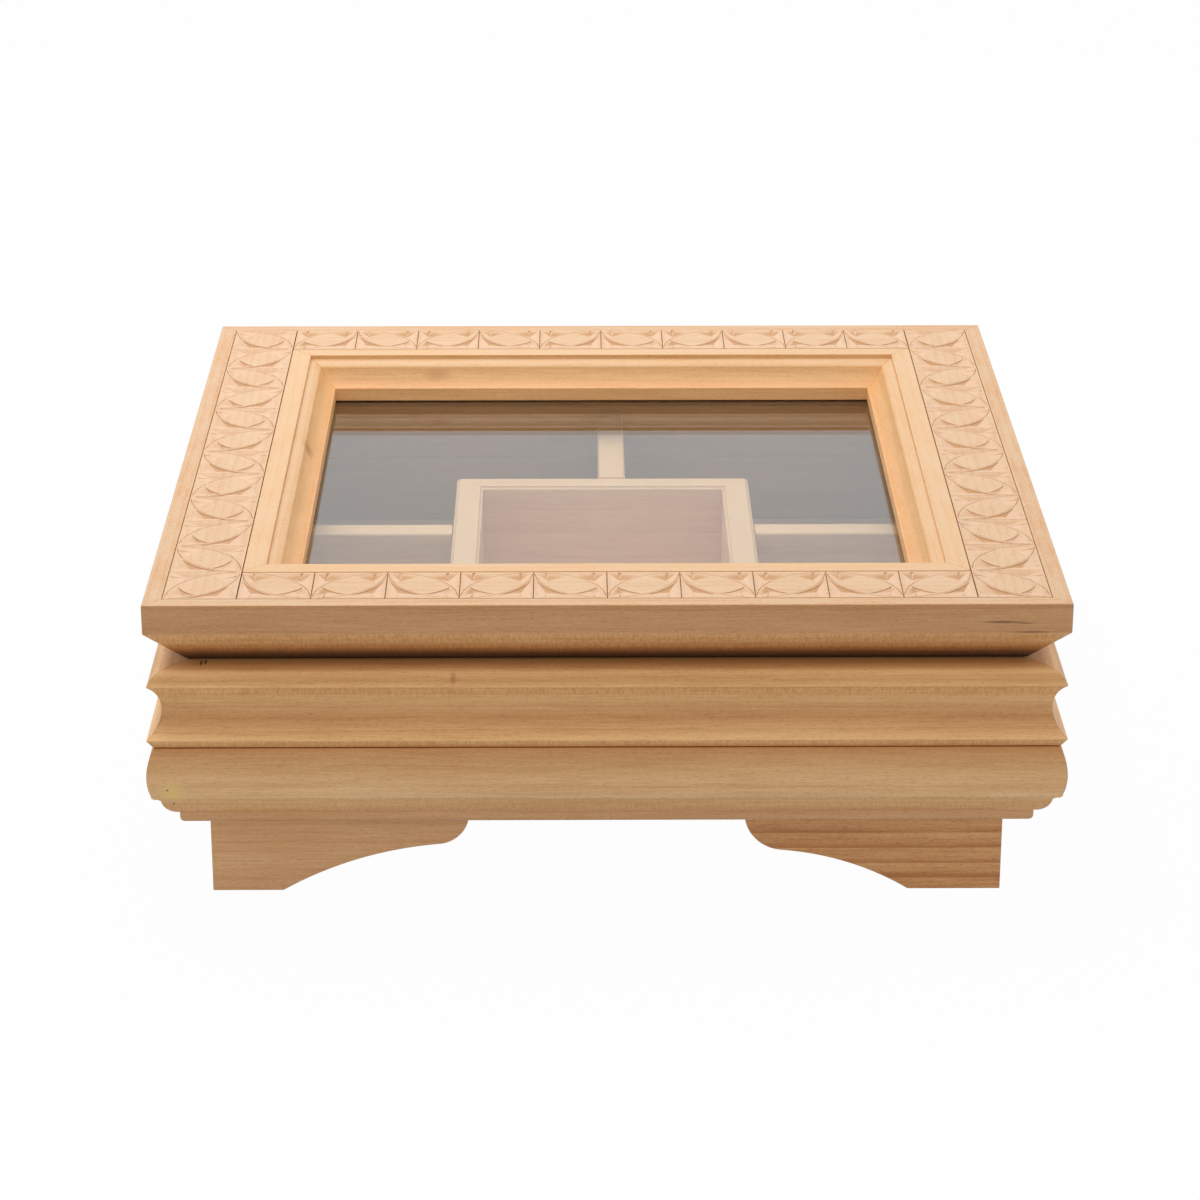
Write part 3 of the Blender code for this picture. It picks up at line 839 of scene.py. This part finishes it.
def carved_strip(length, cells, first_mirrored, kerf, thickness, gaps):
    """A strip of carved squares along X.

    kerf is the width and depth of the saw cuts between the squares, and gaps are what's left of the
    groove at the strip's outer and inner side.
    """
    bm = bmesh.new()
    square = mesh_of(carved_square(*kerf), "square")
    for i in range(cells):
        before = set(bm.verts)
        bm.from_mesh(square)
        verts = [vert for vert in bm.verts if vert not in before]
        if (i + first_mirrored) % 2:
            bmesh.ops.scale(bm, verts=verts, vec=(-1, 1, 1))
            bmesh.ops.translate(bm, verts=verts, vec=(tile_side, 0, 0))
        bmesh.ops.translate(bm, verts=verts, vec=(tile_side * i, 0, 0))
    bpy.data.meshes.remove(square)
    bmesh.ops.remove_doubles(bm, verts=bm.verts, dist=weld)
    rim = [edge for edge in bm.edges if edge.is_boundary]
    for vert in verts_in(bmesh.ops.extrude_edge_only(bm, edges=rim)["geom"]):
        vert.co.z = -thickness
    bottom = [edge for edge in bm.edges if edge.is_boundary]
    bmesh.ops.contextual_create(bm, geom=bottom)
    bmesh.ops.recalc_face_normals(bm, faces=bm.faces)
    bmesh.ops.translate(bm, verts=bm.verts, vec=(-tile_side * cells / 2, -tile_side / 2, 0))
    outer_gap, inner_gap = gaps
    width = band_width - outer_gap - inner_gap
    bmesh.ops.scale(bm, verts=bm.verts, vec=(length / (tile_side * cells), width / tile_side, 1))
    middle = -lid_half + lid_border + outer_gap + width / 2
    bmesh.ops.translate(bm, verts=bm.verts, vec=(0, middle, lid_top))
    return bm


band_thickness = lid_top - band_bed - seat_gap
band_look = {**band_colours, "finish_last": cut_wood}
close_gap = 0.00015
side_gap = 0.00025
front_gap = 0.00075
band_gaps = {"front": (close_gap, front_gap), "back": (close_gap, close_gap)}
side_gaps = (side_gap, close_gap)
short_kerf = (0.00036, 0.0009)
side_kerf = (0.00024, 0.0003)

for i, side in enumerate(sides):
    low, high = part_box(f"carved_band_{side}")
    length = max(high.x - low.x, high.y - low.y)
    short = side in ("front", "back")
    shift = (0.05 * i, 0.02 * i, 0.011)
    wood = beech(f"beech {side} carving", shift, turn=-quarter * (i % 2), **band_look)
    cells, mirrored, kerf = (10, True, short_kerf) if short else (12, False, side_kerf)
    gaps = band_gaps.get(side, side_gaps)
    strip = carved_strip(length, cells, mirrored, kerf, band_thickness, gaps)
    name, node, turn = f"{side}_carving", f"carved_band_{side}", quarter * i
    piece = finish(
        strip, name, wood, "lid", [node], turn, round_by=0, crease=chip_crease
    )
    print(piece.name, len(piece.data.polygons), "faces")

# %% [markdown]
# ## Sight moulding and glass
#
# The sight moulding frames the glass: a flat strip level with the lid, a step, a small round
# shoulder, a hollow that falls to a sharp arris, and an upright lip down to the pane. A bead under
# the pane keeps it in place.

# %% Sight moulding
strip_inset = sight_inset + 0.0075
strip_step = 0.0018
shoulder = (strip_inset + 0.0040, lid_top - 0.0036)
shoulder_rise = 0.0004
arris = (sight_inset + 0.0173, lid_top - 0.0104)
sight_hollow = -0.0008
sight_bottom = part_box("sight_moulding_front")[0].z
sight_points = [
    (sight_inset + mitre_gap, lid_top),
    (strip_inset, lid_top),
    (strip_inset, lid_top - strip_step),
    (*shoulder, shoulder_rise),
    (*arris, sight_hollow),
    (arris[0], sight_bottom),
    (rebate_inset + seat_gap, sight_bottom),
    (rebate_inset + seat_gap, shelf + seat_gap),
    (sight_inset + mitre_gap, shelf + seat_gap),
]
# Painted light on the upright lip and the foot of the hollow; the shoulder and the strip above are toned
# down.
sight_tones = [
    (94.5, "painted_highlight"),
    (99.2, "painted_highlight"),
    (100.0, "warm"),
    (103.0, "mid_tone"),
    (110.0, "mid_tone"),
]
sight_marks = [
    ((-0.0635, 0.1053, 0.1045), (0.0075, 0.0040, 0.0035), "#B0703A", 0.5),
    ((-0.1074, 0.0178, 0.1045), (0.0040, 0.0065, 0.0035), "#A8642F", 0.6),
]
sight_colours = {"pale": "#FCCE94", "dark": "#E2B077", "level_shading": "#E2C9AC"}
sight_look = {**sight_colours, "finish_last": toned(sight_tones, sight_marks)}
ring(sight_points, "sight_moulding", "sight_moulding", "lid", "lid_wood", sight_look)

# %% Glazing bead
bead_low, bead_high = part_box("glazing_bead_front")
bead_back = rebate_inset + seat_gap
bead_width = 0.0085
bead_foot = 0.0030
bead_hollow = -0.0010
bead_points = [
    (bead_back, bead_high.z),
    (bead_back + bead_width, bead_high.z),
    (bead_back + bead_foot, bead_low.z, bead_hollow),
    (bead_back, bead_low.z),
]
# The bead's dark brown is painted shade: the shade under the lid's frame, seen through the glass.
shaded_bead_colours = {"pale": "#765A4A", "dark": "#664A3A", "level_shading": "#765A4A"}
ring(bead_points, "glazing_bead", "glazing_bead", "lid", "lid_wood", shaded_bead_colours)

# %% [markdown]
# The pane is ordinary 3 mm float glass. A glass shader bends light and mirrors it by itself, more
# at a low angle, which gives the pale veil of the background over the box's inside. Lamps can't find
# their way through a refracting pane in a path tracer, so for shadow rays the pane is simply clear.

# %% Glass
glass_arris = 0.0004
glass_index = 1.52
glass_material = new_material("clear float glass")
tree = glass_material.node_tree
path = add_node(tree, "ShaderNodeLightPath")
pane_shader = add_node(
    tree,
    "ShaderNodeBsdfPrincipled",
    {"Base Color": linear("#F4F8F6"), "Roughness": 0.0, "IOR": glass_index, "Transmission Weight": 1.0},
)
clear = add_node(tree, "ShaderNodeBsdfTransparent", {"Color": linear("#F2F6F4")})
both = add_node(
    tree,
    "ShaderNodeMixShader",
    {0: path.outputs["Is Shadow Ray"], 1: pane_shader.outputs[0], 2: clear.outputs[0]},
)
add_node(tree, "ShaderNodeOutputMaterial", {"Surface": both.outputs[0]})

pane = block(*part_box("glass_pane"))
ease(pane, pane.edges[:], glass_arris, 1)
finish(pane, "pane", glass_material, "lid", ["glass_pane"], round_by=0)

# %% [markdown]
# ## Walls
#
# The walls are two mouldings, one on the other. The upper one has a level rim with an eased front, a
# sharp lip, a deep hollow and a lower lip. The lower one swells out, turns under at a round nose and
# steps in to the bottom board by an ovolo. The fine gap between them reads as a dark line all round.

# %% Upper and lower mouldings
upper_low, upper_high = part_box("upper_moulding_front")
wall_inset = upper_high.y + lid_half
upper_top, upper_bottom = upper_high.z, upper_low.z
ease_inset = 0.0080
rim = (0.0042, upper_top - 0.0008)
lip = (0.0003, upper_top - 0.0050)
lip_rise = -0.00045
lower_lip = (-0.0004, upper_bottom + 0.0032)
wall_hollow = 0.00465
wall_joint = 0.0017
wall_steps = 20
upper_points = [
    (wall_inset, upper_top),
    (ease_inset, upper_top),
    rim,
    (*lip, lip_rise),
    (*lower_lip, wall_hollow),
    (wall_joint, upper_bottom),
    (wall_inset, upper_bottom),
]
# Painted highlights on the lower lip, the lip and the crease of the rim, and painted shade beside the
# joint, in the middle of the hollow and on the rim under the lid.
upper_tones = [
    (59.5, "joint_shade"),
    (60.8, "mid_tone"),
    (63.0, "painted_highlight"),
    (69.0, "painted_shade"),
    (75.0, "mid_tone"),
    (81.2, "painted_highlight"),
    (83.0, "tan_tone"),
    (85.4, "painted_highlight"),
    (86.2, "painted_shade"),
]
upper_marks = [
    ((-0.1322, -0.1403, 0.0862), (0.0006, 0.0030, 0.0100), "#3A2416", 0.9),
    ((-0.1308, -0.1396, 0.0862), (0.0006, 0.0026, 0.0100), "#3A2416", 0.9),
    ((-0.0500, -0.1482, 0.0836), (0.0014, 0.0100, 0.0024), "#A85A28", 0.45),
    ((-0.0968, -0.1469, 0.0702), (0.0005, 0.0040, 0.0005), "#6A4020", 0.7),
]
wall_colours = {"pale": "#FED59C", "dark": "#DFAD71", "level_shading": "#FED59C"}
# Painted shade on the faces inside the box
shade_inside = "#9A8A82"
upper_look = {**wall_colours, "finish_last": toned(upper_tones, upper_marks, shade_inside)}
ring(upper_points, "upper_wall", "upper_moulding", "box", "wall_wood", upper_look, wall_steps, gains(-1))

lower_low, lower_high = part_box("lower_moulding_front")
swell_foot = (0.0002, lower_high.z - 0.0164)
nose = (0.0019, swell_foot[1] - 0.0020)
ovolo = (0.0031, nose[1] - 0.0011)
wall_foot = (0.0085, lower_low.z)
swell_rise, nose_rise, ovolo_rise = -0.0017, -0.0005, -0.00105
lower_points = [
    (wall_inset, lower_high.z),
    (wall_joint, lower_high.z),
    (*swell_foot, swell_rise),
    (*nose, nose_rise),
    ovolo,
    (*wall_foot, ovolo_rise),
    (wall_inset, lower_low.z),
]
# A painted highlight on the nose, painted light from the table on the lower swell, and painted shade
# towards the joint at the top.
lower_tones = [
    (33.3, "warm"),
    (38.0, "mid_tone"),
    (41.6, "full_highlight"),
    (43.2, "bounce_light"),
    (48.0, "bounce_light"),
    (52.0, "dull"),
    (58.4, "painted_shade"),
    (59.2, "joint_shade"),
]
lower_marks = [
    ((-0.1424, -0.1506, 0.0440), (0.0058, 0.0060, 0.0056), "#EFD07C", 0.6),
    ((-0.1440, -0.1507, 0.0452), (0.0006, 0.0040, 0.0006), "#7A4E2A", 0.8),
    ((-0.1424, -0.1466, 0.0387), (0.0006, 0.0040, 0.0006), "#7A4E2A", 0.8),
]
lower_look = {**wall_colours, "finish_last": toned(lower_tones, lower_marks, shade_inside)}
ring(lower_points, "lower_wall", "lower_moulding", "box", "wall_wood", lower_look, wall_steps)

# %% [markdown]
# ## Bottom board and partitions
#
# The bottom is one thin board whose lower edge is rounded over. Inside, four sticks make a square
# tray frame, and a divider runs from the middle of each of its sides to the wall. Their top edges are
# rounded by hand, so they catch a soft line of light.

# %% Bottom board
board_round = 0.0026
round_steps = 8
board_low, board_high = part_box("bottom_board")
board = block(board_low, (board_high.x, board_high.y, lower_low.z - weld))
under = [edge for edge in board.edges if all(vert.co.z < board_low.z + weld for vert in edge.verts)]
ease(board, under, board_round, round_steps)
board_wood = beech("beech bottom board", (0.21, 0.03, 0.2), "#E5B683", "#CD955F", "#F4D0AF")
finish(board, "bottom", board_wood, "box", ["bottom_board"], round_by=0)

# %% Partitions
partition_round = 0.0010
round_rise = -partition_round * (math.sqrt(2) - 1) / math.sqrt(2)
tray_low, tray_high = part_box("tray_wall_front")
tray_outer, tray_inner = tray_low.y + lid_half, tray_high.y + lid_half
# The partitions' level colour is darker: painted shade on their tops inside the box.
partition_colours = {"pale": "#DEB58B", "dark": "#C89569", "level_shading": "#C49870"}
partition_points = [
    (tray_outer, tray_low.z),
    (tray_outer, tray_high.z - partition_round),
    (tray_outer + partition_round, tray_high.z, round_rise),
    (tray_inner - partition_round, tray_high.z),
    (tray_inner, tray_high.z - partition_round, round_rise),
    (tray_inner, tray_low.z),
]
ring(partition_points, "tray", "tray_wall", "box", "partition_wood", partition_colours, round_steps)

for i, side in enumerate(sides):
    low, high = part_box(f"divider_{side}")
    divider = block(low, high)
    top = [edge for edge in divider.edges if all(vert.co.z > high.z - weld for vert in edge.verts)]

    # The front and back dividers run along Y, so their X is the one that stays the same along an edge
    across = i % 2
    long_edges = [edge for edge in top if abs(edge.verts[0].co[across] - edge.verts[1].co[across]) < weld]
    ease(divider, long_edges, partition_round, round_steps)
    shift, turn = (0.3 * i, 0.017, 0.05 * i), -quarter * (1 - across)
    wood = beech(f"beech {side} divider", shift, turn=turn, **partition_colours)
    finish(divider, f"{side}_divider", wood, "box", [f"divider_{side}"], round_by=0)

# %% [markdown]
# ## Bracket feet
#
# Each corner stands on two sawn brackets that meet in a mitre, with a block glued in the angle. The
# curve is a long sweep that rises from the pad and turns up into a quarter hollow. It's cut with a
# bandsaw, so the section is the same right through, and the edges are broken with sandpaper. The saw
# didn't follow one line everywhere: each bracket at the front has its own pad and waist.

# %% Feet
foot_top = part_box("foot_front_at_left")[1].z
foot_length = 0.0862
foot_thickness = 0.0100
foot_half = -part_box("foot_front_at_left")[0].y
waist_slope = math.radians(5)
foot_steps = 16
foot_grain = 72
usual_cut = (0.0280, 0.0740, 0.0160)
cuts_at_front = {"left": (0.0236, 0.0759, 0.0169), "right": (0.0310, 0.0733, 0.0144)}
block_slant = 0.0180
block_reach = 0.0010


def foot(mirrored, pad_length, waist_along, waist_height):
    """A bracket for the front, at its left or mirrored at its right, cut by the mitre plane."""
    bm = bmesh.new()
    axis = Vector((0, -1, 0))
    pad = Vector((pad_length, 0, 0))
    waist = Vector((waist_along, 0, waist_height))
    quarter_end = Vector((foot_length, 0, foot_top))
    sweep = waist - pad
    along = Vector((math.cos(waist_slope), 0, math.sin(waist_slope)))
    radius = sweep.length_squared / (2 * abs(sweep.x * along.z - sweep.z * along.x))
    rise = radius * (1 - math.cos(math.asin(sweep.length / 2 / radius)))
    hollow_rise = (quarter_end - waist).length * (math.sqrt(2) - 1) / 2
    start = bm.verts.new((0, 0, 0))
    bm.edges.new((start, bm.verts.new(pad)))
    spun(bm, bm.verts.new(pad), bow_centre(pad, waist, rise, axis), waist, axis, foot_steps)
    hollow_centre = bow_centre(waist, quarter_end, -hollow_rise, axis)
    spun(bm, bm.verts.new(waist), hollow_centre, quarter_end, axis, foot_steps)
    top = bm.verts.new((0, 0, foot_top))
    bm.edges.new((bm.verts.new(quarter_end), top))
    bm.edges.new((top, start))
    bmesh.ops.remove_doubles(bm, verts=bm.verts, dist=weld)
    faces = bmesh.ops.contextual_create(bm, geom=bm.edges[:])["faces"]
    back = verts_in(bmesh.ops.extrude_face_region(bm, geom=faces)["geom"])
    bmesh.ops.translate(bm, verts=back, vec=(0, foot_thickness, 0))
    bmesh.ops.translate(bm, verts=bm.verts, vec=(-foot_half, -foot_half, 0))
    cut_end(bm, (-1, 1, 0), -mitre_gap / 2)
    if mirrored:
        bmesh.ops.scale(bm, verts=bm.verts, vec=(-1, 1, 1))
    bmesh.ops.recalc_face_normals(bm, faces=bm.faces)
    return bm


foot_colours = {"pale": "#F1C38F", "dark": "#D59A63", "level_shading": "#F1C38F"}
ringed_colours = {"pale": "#F0BA7E", "dark": "#BE7C46", "level_shading": "#F0BA7E"}
ringed_look = {"rings": 0.8, "spacing": 0.0055, **ringed_colours}

for i, side in enumerate(sides):
    before, after = sides[i - 1], sides[(i + 1) % 4]
    for mirrored, neighbour in ((False, before), (True, after)):
        shift = (0.17 * i + 0.4 * mirrored, 0.05 * i, 0.33 + 0.04 * mirrored)
        look = ringed_look if (side, neighbour) == ("front", "right") else foot_colours
        material_name, turn = f"beech foot {side} at {neighbour}", -quarter * (i % 2)
        wood = beech(material_name, shift, turn=turn, lean=foot_grain, **look)
        name, node = f"{side}_foot_at_{neighbour}", f"foot_{side}_at_{neighbour}"
        cut = cuts_at_front[neighbour] if side == "front" else usual_cut
        finish(foot(mirrored, *cut), name, wood, "box", [node], quarter * i)

    # The block's edge towards the middle of the box is planed off at a slant
    low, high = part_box(f"glue_block_{side}_{before}")
    glue_block = block(low, high)
    reach = block_reach + min(abs(vert.co.x) + abs(vert.co.y) for vert in glue_block.verts)
    near = [vert for vert in glue_block.verts if abs(vert.co.x) + abs(vert.co.y) < reach]
    inner_edge = [edge for edge in glue_block.edges if all(vert in near for vert in edge.verts)]
    ease(glue_block, inner_edge, block_slant, 1)
    wood = beech(f"beech block {side}", (0.1, 0.2 * i, 0.5), **foot_colours)
    finish(glue_block, f"{side}_block", wood, "box", [f"glue_block_{side}_{before}"])

# %% [markdown]
# ## Hinges
#
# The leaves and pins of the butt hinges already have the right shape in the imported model, so they
# stay and only get a finish: rolled yellow brass, tumbled until it's satin, with fine scratches and a
# breath of brown tarnish. The screws get slotted heads. Each is a profile spun about its own axis,
# with a slot cut across it.

# %% Brass
scratch_length = 0.0060
scratch_width = 0.00006
scratch_drop = 0.00002
tarnish_size = 0.0040
tarnish_range, tarnish_share = (0.45, 0.75), 0.45
scratch_range, brass_polish = (0.3, 0.7), (0.26, 0.40)

brass = new_material("tumbled yellow brass")
tree = brass.node_tree
place = add_node(tree, "ShaderNodeTexCoord").outputs["Object"]
scratch = noise(tree, stretched(tree, place, scratch_length, scratch_width), 2.0)
cloud = noise(tree, stretched(tree, place, tarnish_size, tarnish_size), 3.0)
tarnish = ramp(tree, cloud, *tarnish_range, 0, tarnish_share)
bump = add_node(tree, "ShaderNodeBump", {"Height": scratch, "Strength": 0.2, "Distance": scratch_drop})
surface = add_node(
    tree,
    "ShaderNodeBsdfPrincipled",
    {
        "Base Color": mixed(tree, tarnish, linear("#D9B26A"), linear("#9A7440")),
        "Roughness": ramp(tree, scratch, *scratch_range, *brass_polish),
        "Normal": bump.outputs[0],
        "Metallic": 1.0,
    },
)
add_node(tree, "ShaderNodeOutputMaterial", {"Surface": surface.outputs[0]})

for hand in ("left", "right"):
    for part in ("box_leaf", "lid_leaf", "pin"):
        for material_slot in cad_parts[f"hinge_{hand}_{part}"].material_slots:
            material_slot.material = brass

# %% Screws
screw_radius = 0.0019
shank_radius = 0.0009
screw_length = 0.0080
screw_point = 0.0025
slot_width = 0.0004
slot_depth = 0.0005
screw_steps = 32


def screw(name, up, body):
    """A slotted countersunk screw. up is 1 where it runs up into the lid."""
    low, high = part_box(name)
    head = Vector(((low.x + high.x) / 2, (low.y + high.y) / 2, low.z if up > 0 else high.z))
    profile = [
        (0, 0),
        (screw_radius, 0),
        (shank_radius, leaf_thickness),
        (shank_radius, screw_length - screw_point),
        (0, screw_length),
    ]
    bm = bmesh.new()
    verts = [bm.verts.new(head + Vector((radius, 0, up * depth))) for radius, depth in profile]
    edges = [bm.edges.new(pair) for pair in zip(verts, verts[1:])]
    bmesh.ops.spin(
        bm, geom=verts + edges, cent=head, axis=upward, angle=math.tau, steps=screw_steps, use_merge=True
    )
    bmesh.ops.remove_doubles(bm, verts=bm.verts, dist=weld)
    bmesh.ops.recalc_face_normals(bm, faces=bm.faces)
    reach = Vector((screw_radius + overrun, slot_width / 2, slot_depth))
    piece_name = name.replace("hinge", "slotted")
    cuts = [(head - reach, head + reach)]
    finish(bm, piece_name, brass, body, [name], round_by=0, cuts=cuts)


for hand in ("left", "right"):
    for number in (1, 2):
        screw(f"hinge_{hand}_box_screw_{number}", -1, "box")
        screw(f"hinge_{hand}_lid_screw_{number}", 1, "lid")
print("8 screws")
